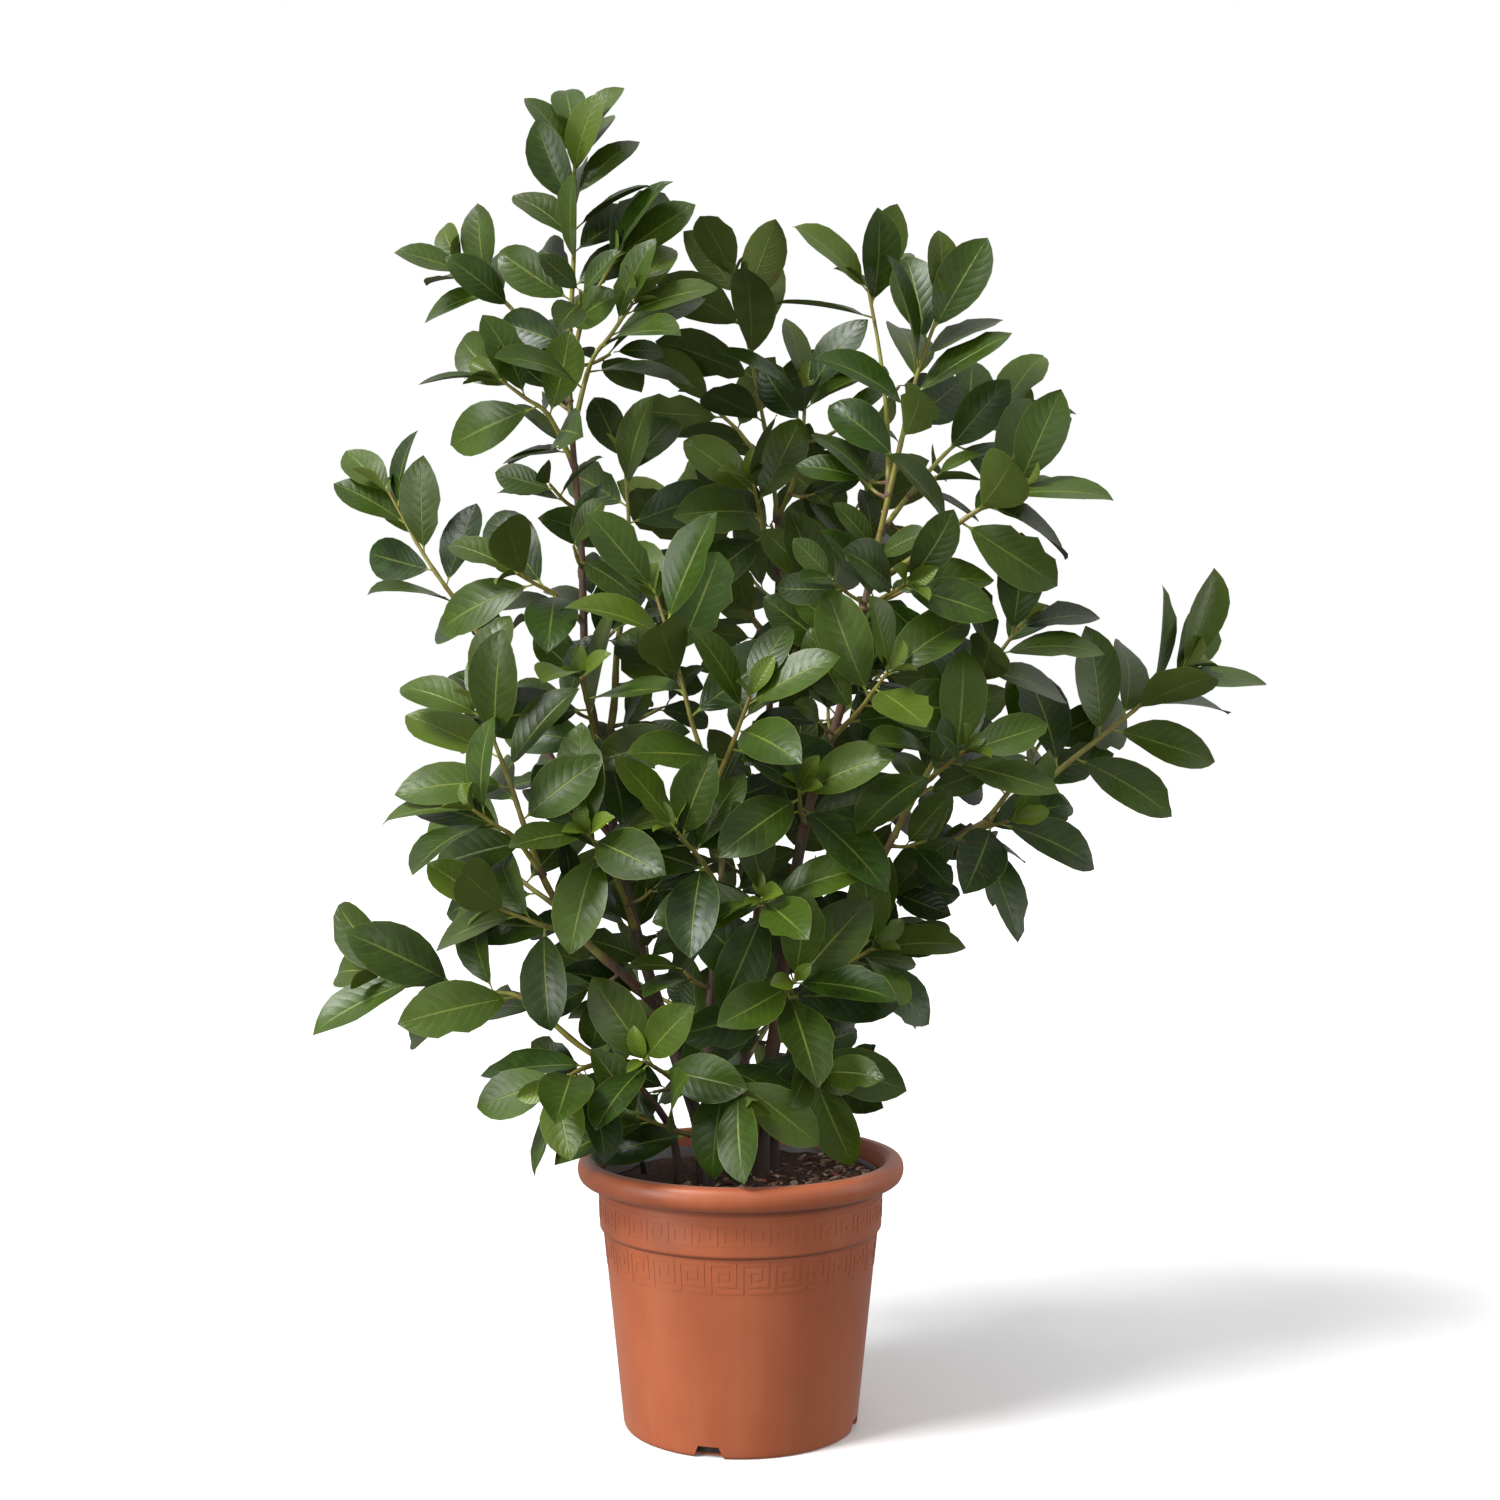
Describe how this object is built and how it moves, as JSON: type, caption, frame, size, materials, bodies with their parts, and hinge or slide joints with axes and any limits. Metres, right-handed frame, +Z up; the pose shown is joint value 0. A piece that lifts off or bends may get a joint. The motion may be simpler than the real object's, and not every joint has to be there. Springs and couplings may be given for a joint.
{
  "type": "potted cherry laurel",
  "caption": "Cherry laurel shrub of several leafy stems in a round terracotta-coloured plastic container with a rolled rim and meander bands.",
  "frame": {"origin": "middle of the container's flat underside, on the floor that it stands on", "axes": "+Z up, along the plant's longest extent; -Y is the front that the picture shows, and +X is to the picture's right"},
  "size_m": [1.0417, 0.6038, 1.4517],
  "materials": {
    "terracotta_plastic": "satin, slightly weathered",
    "grey_plastic": "matt",
    "potting_soil": "rough and damp, with bark chips",
    "label_plastic": "smooth",
    "bark": "rough",
    "laurel_leaf": "glossy upper side and matt underside"
  },
  "bodies": {
    "root": {"pot": "terracotta_plastic", "grower_pot": "grey_plastic", "soil": "potting_soil", "plant_label": "label_plastic", "wood_left": "bark", "wood_centre": "bark", "wood_right": "bark", "wood_far_right": "bark", "wood_back": "bark", "wood_low_left": "bark", "shoot_left_leader": "laurel_leaf", "shoot_centre_leader": "laurel_leaf", "shoot_right_leader": "laurel_leaf", "shoot_far_right_leader": "laurel_leaf", "shoot_back_leader": "laurel_leaf", "shoot_low_left_leader": "laurel_leaf", "shoot_low_twig": "laurel_leaf", "shoot_second_arm": "laurel_leaf", "shoot_upper_left_arm": "laurel_leaf", "shoot_left_arc": "laurel_leaf", "shoot_top_left_side": "laurel_leaf", "shoot_top_right_side": "laurel_leaf", "shoot_leader_left_low": "laurel_leaf", "shoot_leader_right_high": "laurel_leaf", "shoot_leader_left_high": "laurel_leaf", "shoot_leader_front": "laurel_leaf", "shoot_leader_low_front": "laurel_leaf", "shoot_leader_foot_front": "laurel_leaf", "shoot_arc_low": "laurel_leaf", "shoot_arc_middle": "laurel_leaf", "shoot_arc_back": "laurel_leaf", "shoot_centre_twig": "laurel_leaf", "shoot_centre_side": "laurel_leaf", "shoot_centre_low": "laurel_leaf", "shoot_right_top_twig": "laurel_leaf", "shoot_right_high_side": "laurel_leaf", "shoot_right_side": "laurel_leaf", "shoot_right_front": "laurel_leaf", "shoot_right_low_front": "laurel_leaf", "shoot_right_rosette": "laurel_leaf", "shoot_right_inner": "laurel_leaf", "shoot_right_inner_front": "laurel_leaf", "shoot_right_middle": "laurel_leaf", "shoot_far_right_front": "laurel_leaf", "shoot_far_right_low": "laurel_leaf", "shoot_far_right_foot": "laurel_leaf", "shoot_far_right_back": "laurel_leaf", "shoot_right_arm": "laurel_leaf", "shoot_right_arm_hanging": "laurel_leaf", "shoot_right_arm_side": "laurel_leaf", "shoot_low_left_side": "laurel_leaf", "shoot_back_high_side": "laurel_leaf", "shoot_back_front_side": "laurel_leaf", "shoot_back_left_side": "laurel_leaf", "shoot_back_low_left": "laurel_leaf", "shoot_back_low_right": "laurel_leaf", "shoot_back_skirt_right": "laurel_leaf", "shoot_back_skirt_left": "laurel_leaf", "shoot_back_upper_left": "laurel_leaf", "shoot_back_upper_right": "laurel_leaf"}
  },
  "joints": []
}
